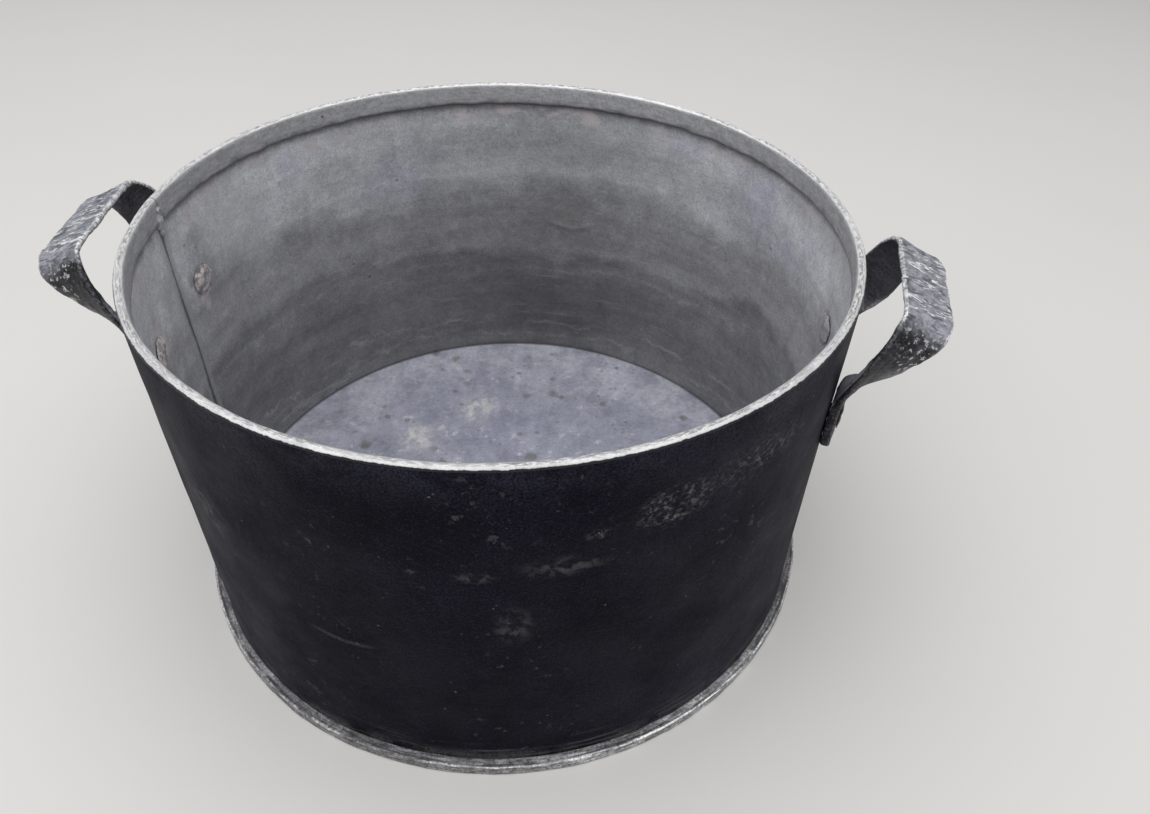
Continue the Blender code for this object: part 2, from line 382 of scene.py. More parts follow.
# Tinned inside of the wall: pale above, soft tide marks, darker down to the bottom
insideTin = {
    "pale": (0.545, 0.55, 0.57), "violet": (0.48, 0.48, 0.555), "hem": (0.44, 0.44, 0.45),
    "tide": (0.325, 0.325, 0.332), "low": (0.235, 0.235, 0.243), "deep": (0.19, 0.19, 0.20),
    "foot": (0.225, 0.225, 0.233), "speck": (0.07, 0.065, 0.06), "smear": (0.72, 0.655, 0.655),
    "grime": (0.030, 0.029, 0.029), "dirtAndShadeUnderHem": (0.085, 0.084, 0.084), "hemLow": 0.2215, "wave": 0.024,
    "tides": (("low", 0.080, 0.014), ("tide", 0.106, 0.0055), ("pale", 0.160, 0.019)),
    # height, half width, tone and share of each line of scale
    "scale": ((0.099, 0.006, "deep", 0.8), (0.089, 0.0030, "tide", 0.7), (0.030, 0.0030, "tide", 0.8),
              (0.016, 0.0045, "tide", 0.8), (0.150, 0.004, "low", 0.4)),
    # size, detail and swing of the mottling, from broad to fine
    "mottle": ((17.0, 4.0, 0.13), (70.0, 5.0, 0.15), (260.0, 4.0, 0.14), (900.0, 2.0, 0.26)),
    # soot and solder round the rivets, by handle
    "rivetSoot": {"left": 0.5, "right": 0.2}, "rivetSolder": {"left": 0.85, "right": 0.3},
    # tone, place, near, far, stretch and share of the marks by the left handle
    "marks": (("deep", (-0.1962, 0.0206, 0.1863), 0.003, 0.024, (1, 1, 1), 0.50),
              ("pale", (-0.1887, 0.0572, 0.1800), 0.010, 0.045, (1, 1, 1), 0.45),
              # the next mark is a painted highlight: a pale upright streak over the front-left rivet,
              # standing in for light on its head
              ("smear", (-0.1908, -0.0498, 0.1690), 0.002, 0.0085, (1.3, 1.3, 0.55), 0.9),
              ("smear", (-0.1955, 0.0150, 0.1480), 0.001, 0.006, (1, 1, 1), 0.7),
              ("smear", (-0.1865, -0.0640, 0.2050), 0.002, 0.009, (1, 1, 0.8), 0.6),
              ("deep", (-0.1950, -0.0230, 0.1700), 0.002, 0.020, (1, 1, 0.6), 0.35)),
    "violetPlace": (0.1645, 0.1089, 0.180), "dentPlace": (0.0206, 0.1957, 0.151), "dentBend": 0.030,
}


def makeInsideTin():
    d = insideTin
    beginMaterial("insideTin")
    wave = sway((8.0, 2.0), -d["wave"] / 2, d["wave"] / 2)
    ripple = sway((45.0, 6.0, 0.65), -0.007, 0.007)
    height = combine("ADD", combine("ADD", heightOf(), wave), ripple)
    colour = blend(stretch(height, 0.006, 0.036), d["foot"], d["deep"])
    for tone, place, soft in d["tides"]:
        colour = blend(stretch(height, place - soft, place + soft), colour, d[tone])
    above = stretch(height, 0.140, 0.165)
    # scale left where the pot last boiled dry: a dark edge with broken pale lines under it
    for place, wide, tone, share in d["scale"]:
        mark = gapTo(height, place)
        broken = blotches((33.0, 5.0, 0.65), 0.42, 0.60, 0.0, share, on=placeCoords((1, 1, 3)))
        colour = blend(times(stretch(mark, 0.0, wide, 1.0, 0.0), broken), colour, d[tone])
    violet = combine("MAXIMUM", nearPlace(d["violetPlace"], 0.020, 0.070),
                     blotches((13.0, 4.0), 0.52, 0.70))
    violet = times(violet, blotches((55.0, 5.0, 0.6), 0.40, 0.62, 0.2, 0.9))
    colour = blend(times(violet, above), colour, d["violet"])
    # painted light: paler to both sides and darker at the middle of the back and front, then mottled from
    # broad to fine
    colour = shade(colour, stretch(sidewaysOf(), 0.0, 0.19, 0.72, 1.28, False))
    colour = mottled(colour, d["mottle"])
    colour = shade(colour, sway((5.0, 6.0, 0.6), 0.83, 1.17, on=placeCoords((1, 1, 11))))
    streaks = times(blotches((26.0, 5.0, 0.65), 0.56, 0.70, on=placeCoords((1, 1, 7))),
                    stretch(height, 0.095, 0.120, 0.5, 0.0))
    colour = blend(streaks, colour, d["tide"])
    # the folded hem is duller, with a line of dirt and painted shade along its torn edge and pale smears
    # below it
    sheetHeight = keptValue("sheetHeight")
    hem = stretch(sheetHeight, d["hemLow"] - 0.0004, d["hemLow"] + 0.0004)
    hemTone = blend(blotches((120.0, 5.0, 0.65), 0.35, 0.68, on=placeCoords((1, 1, 3))), d["hem"],
                    d["pale"])
    hemTone = shade(hemTone, sway((700.0, 3.0, 0.6), 0.80, 1.16))
    colour = blend(hem, colour, hemTone)
    # painted highlight: a pale line along the hem just above its lower edge
    lip = times(stretch(gapTo(sheetHeight, d["hemLow"] + 0.0024), 0.0003, 0.0013, 0.7, 0.0),
                blotches((60.0, 5.0, 0.6), 0.40, 0.58))
    colour = blend(lip, colour, d["smear"])
    smearBand = times(stretch(sheetHeight, d["hemLow"] - 0.020, d["hemLow"] - 0.008),
                      stretch(sheetHeight, d["hemLow"] - 0.003, d["hemLow"] - 0.001, 1.0, 0.0))
    smear = blotches((38.0, 6.0, 0.7), 0.51, 0.62, on=placeCoords((1, 1, 1.8)))
    colour = blend(times(times(smear, smearBand), 0.75), colour, d["smear"])
    # dirt and painted shade: a dark band along the lower edge of the hem, where the fold shades the wall
    dirt = gapTo(sheetHeight, d["hemLow"] - 0.0007)
    dirt = combine("SUBTRACT", dirt, sway((150.0, 5.0, 0.65), -0.0012, 0.0016))
    colour = blend(stretch(dirt, 0.0, 0.0064, 0.60, 0.0), colour, d["dirtAndShadeUnderHem"])
    # the lap shows as a dark line with dirt beside it
    seamGap = keptValue("seamGap")
    seamGap = combine("SUBTRACT", seamGap, sway((45.0, 6.0, 0.6), -0.0010, 0.0012))
    below = stretch(sheetHeight, d["hemLow"] - 0.006, d["hemLow"] - 0.001, 1.0, 0.0)
    beside = times(stretch(seamGap, 0.001, 0.010, 0.45, 0.0), below)
    colour = blend(beside, colour, d["low"])
    line = times(stretch(seamGap, 0.0010, 0.0040, 0.70, 0.0), below)
    colour = blend(line, colour, d["grime"])
    lit = times(stretch(gapTo(seamGap, 0.0052), 0.0005, 0.0022, 0.35, 0.0), below)
    colour = blend(lit, colour, d["pale"])
    # soot has crept in round the rivets, and solder is smeared over them
    for side in ("right", "left"):
        for end in ("front", "back"):
            place = middleOf("rivet_" + side + "_" + end)
            halo = times(nearPlace(place, 0.010, 0.026),
                         blotches((75.0, 5.0, 0.65), 0.42, 0.60, 0.05, d["rivetSoot"][side]))
            colour = blend(halo, colour, d["deep"])
            pale = times(nearPlace(place, 0.011, 0.022),
                         blotches((110.0, 5.0, 0.65), 0.50, 0.58, 0.0, d["rivetSolder"][side]))
            colour = blend(pale, colour, d["smear"])
    for tone, place, near, far, scale, share in d["marks"]:
        mark = times(nearPlace(place, near, far, scale),
                     blotches((140.0, 6.0, 0.65), 0.36, 0.60, 0.15, share))
        colour = blend(mark, colour, d[tone])
    speckMask = stretch(cellsOn(75.0), 0.05, 0.11, 1.0, 0.0)
    speckKeep = blotches((26.0, 2.0), 0.57, 0.62)
    colour = blend(times(times(speckMask, speckKeep), 0.7), colour, d["speck"])
    # one dent pressed in from outside, with a lip like a smile
    bow = distanceFrom(d["dentPlace"])
    dentLip = stretch(gapTo(bow, d["dentBend"]), 0.0, 0.004, 1.0, 0.0)
    dentLip = times(dentLip, stretch(heightOf(), 0.122, 0.131, 1.0, 0.0))
    bumps = [(noiseOn(28.0, 3.0), 0.25, 0.005), (dentLip, 0.22, 0.003),
             (times(noiseOn(105.0, 3.0, on=placeCoords((1, 1, 0.5))), hem), 0.55, 0.0030),
             (noiseOn(110.0, 5.0, 0.6), 0.34, 0.0022), (noiseOn(520.0, 3.0, 0.6), 0.30, 0.0007)]
    return finishMaterial(colour, sway((25.0, 4.0), 0.50, 0.66), bumps,
                          {"Metallic": 0.1, "Specular IOR Level": 0.35})


# Soot on the outside: near black, scuffed here and there down to grey iron
sootSkin = {
    "soot": (0.0016, 0.0014, 0.0050), "worn": (0.0082, 0.0078, 0.0165), "fleck": (0.19, 0.19, 0.195),
    "bare": (0.095, 0.096, 0.102), "crust": (0.023, 0.0225, 0.036),
    # place, near, far and stretch of each scuffed patch
    "patches": (((0.1060, -0.1692, 0.196), 0.008, 0.022, (0.9, 0.9, 1.3)),
                ((0.1424, -0.1400, 0.202), 0.000, 0.036, (0.8, 0.8, 1.9)),
                ((0.0732, -0.1857, 0.190), 0.001, 0.007, (0.8, 0.8, 1.6))),
    "smears": (((0.060, -0.1902, 0.172), 0.003, 0.022, (0.85, 0.85, 2.4)),
               ((0.0363, -0.1958, 0.131), 0.002, 0.014, (1.1, 1.1, 0.75)),
               ((0.020, -0.1980, 0.168), 0.002, 0.010, (0.8, 0.8, 2.0)),
               ((-0.120, -0.1560, 0.150), 0.004, 0.022, (1.0, 1.0, 1.0)),
               ((-0.030, 0.1970, 0.120), 0.004, 0.026, (0.8, 0.8, 1.7)),
               ((0.100, 0.1720, 0.070), 0.004, 0.020, (0.8, 0.8, 2.0))),
    # size, threshold, share and tone of the flecks
    "flecks": ((95.0, 0.605, 0.40, "bare"), (190.0, 0.610, 0.55, "bare"), (300.0, 0.645, 0.6, "fleck")),
    "arcPlace": (-0.0480, -0.1935, 0.165), "arcBend": 0.065, "arcMiddle": (-0.0515, -0.1920, 0.100),
}


def makeSootSkin():
    d = sootSkin
    beginMaterial("sootSkin")
    colour = blend(blotches((11.0, 6.0, 0.6), 0.38, 0.74), d["soot"], d["worn"])
    underRim = times(stretch(heightOf(), 0.205, 0.236), blotches((30.0, 5.0, 0.65), 0.36, 0.60))
    colour = blend(underRim, colour, d["crust"])
    # dusty to the sides, most of all low down
    dust = times(stretch(sidewaysOf(), 0.02, 0.16), stretch(heightOf(), 0.012, 0.070, 1.0, 0.35))
    dust = times(dust, blotches((22.0, 5.0, 0.6), 0.3, 0.62, 0.4, 0.9))
    colour = blend(dust, colour, d["crust"])
    settled = times(stretch(heightOf(), 0.007, 0.019, 0.85, 0.0), blotches((40.0, 5.0, 0.65), 0.32, 0.56))
    colour = blend(settled, colour, d["bare"])
    grain = noiseOn(950.0, 3.0, 0.7)
    colour = shade(colour, stretch(grain, 0.36, 0.64, 0.15, 1.6))
    colour = blend(stretch(grain, 0.54, 0.72, 0.0, 0.7), colour, d["crust"])
    # flecks lie thin all over, a few together, and as shards in the patches
    for size, low, share, tone in d["flecks"]:
        fleck = times(blotches((size, 6.0, 0.66), low, low + 0.05),
                      blotches((15.0, 4.0), 0.52, 0.68,
                               on=placeCoords((1, 1, 1), (0.3, 0.1, size / 500))))
        colour = blend(times(fleck, share), colour, d[tone])
    shards = noiseOn(340.0, 5.0, 0.72, 0.4, on=placeCoords((1, 1, 1.2)))
    for place, near, far, scale in d["patches"]:
        patch = times(nearPlace(place, near, far, scale),
                      blotches((95.0, 3.0, 0.6), 0.40, 0.62, 0.30, 0.62))
        colour = blend(times(times(patch, stretch(shards, 0.46, 0.54)), 0.7), colour, d["bare"])
        colour = blend(times(patch, stretch(shards, 0.545, 0.59)), colour, d["fleck"])
    for place, near, far, scale in d["smears"]:
        smear = times(nearPlace(place, near, far, scale),
                      blotches((150.0, 6.0, 0.7, 0.4), 0.44, 0.60, 0.02, 0.66))
        colour = blend(smear, colour, d["bare"])
    # one long curved scratch
    bow = distanceFrom(d["arcPlace"])
    arc = stretch(gapTo(bow, d["arcBend"]), 0.0003, 0.0022, 1.0, 0.0)
    arc = times(arc, nearPlace(d["arcMiddle"], 0.010, 0.022))
    colour = blend(times(arc, stretch(grain, 0.35, 0.6, 0.15, 0.50)), colour, d["bare"])
    # rubbed in thin lines just above the foot, and dusted there
    foot = times(stretch(heightOf(), 0.010, 0.030, 1.0, 0.0),
                 blotches((24.0, 5.0, 0.65), 0.54, 0.66, on=placeCoords((1, 1, 16))))
    colour = blend(times(foot, 0.8), colour, d["bare"])
    uneven = combine("ADD", cellsOn(150.0), stretch(grain, 0.3, 0.7, -0.05, 0.05, False))
    specks = times(stretch(uneven, 0.03, 0.10, 0.8, 0.0), blotches((61.0, 2.0), 0.56, 0.64))
    colour = blend(specks, colour, d["fleck"])
    bumps = [(noiseOn(60.0, 4.0), 0.22, 0.003), (shards, 0.25, 0.0010), (grain, 0.45, 0.0006)]
    return finishMaterial(colour, sway((26.0, 5.0), 0.50, 0.70), bumps,
                          {"Specular IOR Level": 0.085, "Specular Tint": (0.62, 0.62, 1.0)})


# Rim worn to bare metal by lids and ladles: bright on both shoulders, pitted between them
bareRim = {"bright": (0.93, 0.93, 0.94), "grey": (0.42, 0.42, 0.43), "pit": (0.10, 0.10, 0.105),
           "soot": (0.012, 0.012, 0.016)}


def makeBareRim():
    d = bareRim
    beginMaterial("bareRim")
    turn = keptValue("rimTurn")
    along = putNode("ShaderNodeCombineXYZ")
    link(times(keptValue("seamGap"), 0.24), along.inputs["X"])
    link(times(turn, 0.0082), along.inputs["Y"])
    dashes = noiseOn(1000.0, 3.0, 0.65, on=along.outputs["Vector"])
    fine = noiseOn(1200.0, 2.0, 0.6)
    nibble = sway((330.0, 5.0, 0.65), -0.038, 0.038)
    ragged = combine("ADD", turn, nibble)
    # bright outer shoulder, thin bright inner line, mottled grey between
    between = times(stretch(ragged, 0.33, 0.42), stretch(ragged, 0.67, 0.73, 1.0, 0.0))
    colour = blend(blotches((60.0, 5.0, 0.65), 0.36, 0.58, 0.6, 1.0), d["grey"], d["bright"])
    mottle = blend(stretch(dashes, 0.42, 0.54), d["bright"], d["grey"])
    mottle = blend(times(stretch(dashes, 0.56, 0.68), 0.5), mottle, d["pit"])
    patchy = blotches((38.0, 4.0, 0.6), 0.38, 0.62, 0.5, 1.0)
    colour = blend(times(between, patchy), colour, mottle)
    colour = blend(times(stretch(fine, 0.58, 0.70), 0.5), colour, d["grey"])
    # painted shade: the rim is darker towards the front and paler towards the back
    colour = shade(colour, stretch(axisOf("Y"), -0.20, 0.20, 0.86, 1.04, False))
    colour = blend(stretch(ragged, 0.19, 0.24, 1.0, 0.0), colour, d["soot"])
    colour = blend(stretch(ragged, 0.76, 0.84, 0.0, 0.8), colour, d["grey"])
    bumps = [(noiseOn(190.0, 4.0), 0.35, 0.0014), (dashes, 0.25, 0.0006)]
    return finishMaterial(colour, stretch(fine, 0.3, 0.7, 0.34, 0.54, False), bumps, {"Metallic": 0.2})


# Grime packed in the slit of the lap and under the hem
packedGrime = {"dark": (0.028, 0.028, 0.029), "dust": (0.075, 0.073, 0.070)}


def makePackedGrime():
    d = packedGrime
    beginMaterial("packedGrime")
    colour = blend(blotches((260.0, 4.0), 0.45, 0.75), d["dark"], d["dust"])
    return finishMaterial(colour, 0.9, [(noiseOn(400.0, 3.0), 0.3, 0.0008)], {})


materials = {"insideTin": makeInsideTin(), "sootSkin": makeSootSkin(), "bareRim": makeBareRim(),
             "packedGrime": makePackedGrime()}
print("wall finishes ready")


# Side wall: rolled sheet with a hemmed rim, a lapped seam and a flange at the foot
wall = {"rimRadius": 0.200, "footRadius": 0.198, "height": 0.236, "sheet": 0.0022, "clear": 0.0003,
        "hemDepth": 0.0145, "hemGap": 0.0008, "flangeReach": 0.0035, "seamAngle": 182.854, "slit": 0.0012,
        "lap": 0.018, "joggle": 0.012, "lapMargin": 0.016, "lapEdge": 0.00025, "columns": 480,
        "ringStep": 0.0042, "rimHammer": 0.0007, "rimHammerSize": 0.012, "hemTear": 0.0026,
        "hemTearSize": 0.009, "hemCurl": 0.0012, "hemRound": 0.0013, "slitDeep": 0.0011}


def wallRadius(z):
    w = wall
    share = (z - w["sheet"]) / (w["height"] - w["sheet"])
    return w["footRadius"] + (w["rimRadius"] - w["footRadius"]) * share


def wallSection():
    w = wall
    low = w["sheet"] + w["clear"]
    seamTop = 3 * w["sheet"] + 2 * w["clear"]
    high = low + w["sheet"]
    thick = 2 * w["sheet"] + w["hemGap"]
    bend = thick / 2
    bendHeight = w["height"] - bend
    lapLow = seamTop + 1.25 * w["lapMargin"]
    lapHigh = w["height"] - w["hemDepth"] - 1.25 * w["lapMargin"]
    flange = w["footRadius"] + w["flangeReach"]
    leaf = w["rimRadius"] - thick
    hemLow = w["height"] - w["hemDepth"]
    crisp, soft = w["lapEdge"], w["hemRound"]
    section = [(w["footRadius"] - w["sheet"], low), (flange, low), (flange, high),
               (wallRadius(high), high)]
    for z in (lapLow - crisp, lapLow, lapHigh, lapHigh + crisp, bendHeight):
        section += stepsBetween(section[-1], (wallRadius(z), z), w["ringStep"])
    section += roundOff((w["rimRadius"] - bend, bendHeight), bend, 0, 180, 14)[1:]
    # the tin has run in under the fold, so the hem ends in a soft step
    section += stepsBetween(section[-1], (leaf, hemLow + soft), 0.0012)
    section += roundOff((leaf + soft, hemLow + soft), soft, 180, 255, 4)[1:]
    section += stepsBetween(section[-1], (wallRadius(hemLow) - w["sheet"], hemLow - 0.0006), 0.0008)
    for z in (lapHigh + crisp, lapHigh, lapLow, lapLow - crisp, low):
        section += stepsBetween(section[-1], (wallRadius(z) - w["sheet"], z), w["ringStep"])
    return section[:-1], lapLow, lapHigh


def smoothShare(value):
    value = min(1.0, max(0.0, value))
    return value * value * (3 - 2 * value)


def shapeLap(piece, lapLow, lapHigh):
    w = wall
    perColumn = 360.0 / w["columns"]
    slit = math.degrees(w["slit"] / w["rimRadius"])
    joggle = math.degrees(w["joggle"] / w["rimRadius"])
    lap = math.degrees(w["lap"] / w["rimRadius"])
    stepOut = w["sheet"] + w["clear"]
    lapColumn = round(lap / perColumn)
    # two column lines close up: one makes the slit, the other the crisp edge of the lap
    startEdit(piece)
    for column, shift in ((w["columns"] - 1, perColumn - slit), (lapColumn + 1, -0.9 * perColumn)):
        spot = column * perColumn
        pickVerts(piece, lambda co: abs(angleOf(co, w["seamAngle"]) - spot) < perColumn / 4)
        bpy.ops.transform.rotate(value=-math.radians(shift), orient_axis="Z", center_override=(0, 0, 0))
    endEdit()
    middle = w["sheet"] / 2
    for vert in piece.data.vertices:
        co = vert.co
        angle = angleOf(co, w["seamAngle"])
        rise = smoothShare((co.z - lapLow) / w["lapMargin"] + 1.0)
        rise *= smoothShare((lapHigh - co.z) / w["lapMargin"] + 1.0)
        r = radiusOf(co)
        share = 0.0
        onLap = lapLow - 0.0001 < co.z < lapHigh + 0.0001 and r > wallRadius(co.z) - middle
        if angle > 180.0:
            share = smoothShare((angle - 360.0 + slit + joggle) / joggle) * rise
        elif angle < lap + 0.02 and onLap:
            share = 1.0
        if share > 0:
            k = (r + stepOut * share) / r
            vert.co.x *= k
            vert.co.y *= k


# What the finishes need to know about the flat sheet before it is beaten
def markSheet(piece):
    w = wall
    bend = (2 * w["sheet"] + w["hemGap"]) / 2
    slit = math.degrees(w["slit"] / w["rimRadius"])

    def gapFromSeam(co):
        angle = angleOf(co, w["seamAngle"] - slit / 2)
        return math.radians(min(angle, 360.0 - angle)) * w["rimRadius"]

    def turnOverRim(co):
        up = co.z - (w["height"] - bend)
        side = radiusOf(co) - (w["rimRadius"] - bend)
        if up <= 0:
            return 0.0 if side > 0 else 1.0
        return math.atan2(up, side) / math.pi

    keepValue(piece, "sheetHeight", lambda co: co.z)
    keepValue(piece, "seamGap", gapFromSeam)
    keepValue(piece, "rimTurn", turnOverRim)


def paintWall(piece):
    w = wall
    bend = (2 * w["sheet"] + w["hemGap"]) / 2
    slit = math.degrees(w["slit"] / w["rimRadius"])
    for name in ("sootSkin", "insideTin", "bareRim", "packedGrime"):
        piece.data.materials.append(materials[name])
    for face in piece.data.polygons:
        place = face.center
        outward = face.normal.x * place.x + face.normal.y * place.y
        inSlit = angleOf(place, w["seamAngle"]) > 360.0 - slit
        turn = math.atan2(place.z - w["height"] + bend, radiusOf(place) - w["rimRadius"] + bend) / math.pi
        if place.z > w["height"] - bend and 0.04 < turn < 0.88:
            face.material_index = 2
        elif outward > 0 and radiusOf(place) > wallRadius(place.z) - 0.5 * w["sheet"]:
            face.material_index = 0
        else:
            face.material_index = 1
        if inSlit and outward < 0.1:
            face.material_index = 3


def buildWall():
    w = wall
    section, lapLow, lapHigh = wallSection()
    piece = spinSection("potWall", section + [section[0]], w["columns"], w["seamAngle"])
    markSheet(piece)
    shapeLap(piece, lapLow, lapHigh)
    paintWall(piece)
    # the slit runs on across the hem and over the rim
    slit = math.degrees(w["slit"] / w["rimRadius"])
    startEdit(piece, "FACE")
    pickFaces(piece, lambda place, normal: angleOf(place, w["seamAngle"]) > 360.0 - slit
              and place.z > w["height"] - w["hemDepth"] + 0.0008
              and radiusOf(place) < wallRadius(place.z) - 0.0001
              and (normal.z > 0.5 or normal.x * place.x + normal.y * place.y < 0)
              and radiusOf(place) < w["rimRadius"] - 0.0001)
    bpy.ops.mesh.extrude_region_shrink_fatten(TRANSFORM_OT_shrink_fatten={"value": -w["slitDeep"]})
    endEdit()
    # rim and hem were hammered down by hand, and the edge of the hem is torn
    top = w["height"] - 0.004
    group = weighVerts(piece, "rim", lambda co: smoothShare((co.z - top) / 0.003))
    shiftPiece(piece, makeClouds("rimHammer", w["rimHammerSize"], 2), "NORMAL", w["rimHammer"], group)
    hemEdge = w["height"] - w["hemDepth"]

    def onHemEdge(co):
        inside = radiusOf(co) < wallRadius(co.z) - w["sheet"] - 0.0003
        return smoothShare(1.0 - abs(co.z - hemEdge - 0.001) / 0.0035) if inside else 0.0

    group = weighVerts(piece, "hemEdge", onHemEdge)
    shiftPiece(piece, makeClouds("hemTear", w["hemTearSize"], 2), "Z", w["hemTear"], group)
    shiftPiece(piece, makeClouds("hemCurl", w["hemTearSize"] * 1.4, 2), "NORMAL", w["hemCurl"], group)
    bendOutOfTrue(piece)
    makeActive(piece)
    bpy.ops.object.shade_smooth_by_angle(angle=smoothAngle)
    return piece


# Solder dabbed on where the lap runs in under the hem
solder = {"grey": (0.46, 0.46, 0.47), "pale": (0.82, 0.80, 0.80), "dirt": (0.06, 0.058, 0.055),
          # along the wall from the lap, height and half sizes of each dab
          "dabs": ((0.0004, 0.2285, 0.0022, 0.0026), (0.0016, 0.2238, 0.0030, 0.0034),
                   (0.0004, 0.2190, 0.0028, 0.0030), (-0.0006, 0.2140, 0.0018, 0.0026)),
          "stand": 0.0020, "grain": 0.0004, "soften": 4, "lump": (0.0032, 0.0012)}


def makeSolderGrey():
    d = solder
    beginMaterial("solderGrey")
    colour = blend(blotches((260.0, 5.0, 0.6), 0.42, 0.62), d["grey"], d["pale"])
    colour = blend(times(blotches((330.0, 5.0, 0.65), 0.54, 0.66), 0.8), colour, d["dirt"])
    bumps = [(noiseOn(420.0, 4.0), 0.4, 0.0010)]
    return finishMaterial(colour, sway((200.0, 3.0), 0.40, 0.60), bumps, {"Metallic": 0.15})


def buildSolder():
    w, d = wall, solder
    dabs = []
    for along, height, wide, tall in d["dabs"]:
        angle = math.radians(w["seamAngle"]) + along / w["rimRadius"]
        out = wallRadius(height) - w["sheet"] + 0.0002
        if height > w["height"] - w["hemDepth"]:
            out = w["rimRadius"] - 2 * w["sheet"] - w["hemGap"] + 0.0004
        deselectAll()
        bpy.ops.mesh.primitive_ico_sphere_add(subdivisions=4, radius=1.0, location=(0, 0, 0))
        dab = bpy.context.object
        bpy.ops.transform.resize(value=(d["stand"], wide, tall))
        bpy.ops.object.transform_apply(location=True, rotation=True, scale=True)
        startEdit(dab)
        bpy.ops.mesh.select_all(action="SELECT")
        bpy.ops.transform.rotate(value=-angle, orient_axis="Z", center_override=(0, 0, 0))
        bpy.ops.transform.translate(value=(out * math.cos(angle), out * math.sin(angle), height))
        endEdit()
        dabs.append(dab)
    deselectAll()
    for dab in dabs:
        dab.select_set(True)
    bpy.context.view_layer.objects.active = dabs[0]
    bpy.ops.object.join()
    piece = bpy.context.object
    piece.name = piece.data.name = "solderDabs"
    evenSkin(piece, d["grain"], d["soften"])
    lumpSize, lumpDepth = d["lump"]
    shiftPiece(piece, makeClouds("solderLumps", lumpSize, 2), "NORMAL", lumpDepth)
    bendOutOfTrue(piece)
    piece.data.materials.append(makeSolderGrey())
    return piece


potWall = buildWall()
print("wall:", len(potWall.data.polygons), "faces")
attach(potWall, "root")
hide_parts("side_wall")

solderDabs = buildSolder()
print("solder:", len(solderDabs.data.polygons), "faces")
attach(solderDabs, "root")


# Floor of the pot: tinned, stained in spots, paler where it was scoured
floorStain = {
    "tin": (0.318, 0.328, 0.42), "scoured": (0.41, 0.42, 0.505), "stain": (0.225, 0.230, 0.275),
    "olive": (0.150, 0.145, 0.120), "pale": (0.70, 0.68, 0.70), "edge": (0.62, 0.63, 0.72),
    "corner": (0.05, 0.05, 0.052), "gathered": (0.030, 0.085, 0.002),
    # size of the cells, reach and share of the olive spots; the mottling, from broad to fine
    "oliveSpots": ((46.0, 0.27, 0.60), (75.0, 0.27, 0.60), (150.0, 0.24, 0.45)),
    "mottle": ((24.0, 4.0, 0.12), (90.0, 4.0, 0.15), (300.0, 4.0, 0.16), (900.0, 4.0, 0.24)),
    "scouredPlaces": ((-0.041, 0.101, 0.002), (-0.085, 0.059, 0.002), (0.070, 0.030, 0.002),
                      (0.020, -0.080, 0.002)),
}


def makeFloorStain():
    d = floorStain
    beginMaterial("floorStain")
    colour = blend(blotches((12.0, 6.0, 0.62), 0.36, 0.66), d["tin"], d["scoured"])
    edge = times(stretch(radiusNode(), 0.105, 0.188), blotches((34.0, 6.0, 0.65), 0.36, 0.60, 0.25, 1.0))
    colour = blend(edge, colour, d["edge"])
    stain = blotches((27.0, 6.0, 0.65, 0.3), 0.54, 0.70)
    colour = blend(times(stain, 0.6), colour, d["stain"])
    # olive spots of old fat, ragged at their edges
    wander = sway((160.0, 4.0, 0.6), -0.07, 0.07)
    gathered = nearPlace(d["gathered"], 0.030, 0.120)
    for size, reach, share in d["oliveSpots"]:
        olive = stretch(combine("ADD", cellsOn(size), wander), reach - 0.16, reach, 1.0, 0.0)
        keep = combine("ADD", noiseOn(size * 0.30, 2.0), times(gathered, 0.10))
        keep = stretch(keep, 0.545, 0.595)
        colour = blend(times(times(olive, keep), share), colour, d["olive"])
    for place in d["scouredPlaces"]:
        rub = times(nearPlace(place, 0.002, 0.024), blotches((110.0, 6.0, 0.7), 0.42, 0.58, 0.2, 0.95))
        colour = blend(rub, colour, d["pale"])
    pale = blotches((95.0, 6.0, 0.65), 0.58, 0.68)
    colour = blend(times(pale, 0.65), colour, d["pale"])
    colour = mottled(colour, d["mottle"])
    corner = stretch(radiusNode(), 0.1925, 0.1952)
    colour = blend(times(corner, 0.8), colour, d["corner"])
    bumps = [(noiseOn(36.0, 4.0), 0.22, 0.004), (noiseOn(150.0, 4.0), 0.20, 0.0014),
             (noiseOn(520.0, 4.0), 0.20, 0.0006)]
    return finishMaterial(colour, sway((30.0, 4.0), 0.42, 0.62), bumps,
                          {"Metallic": 0.1, "Specular IOR Level": 0.4})


# Folded seam at the foot, rubbed bare where the pot was set down, and painted lighter at the front right
# where the light falls
seamRing = {"bare": (0.31, 0.31, 0.32), "bright": (0.88, 0.88, 0.89), "dull": (0.14, 0.14, 0.148),
            "grime": (0.030, 0.030, 0.032), "rubbedAndLitPlace": (0.125, -0.160, 0.004)}


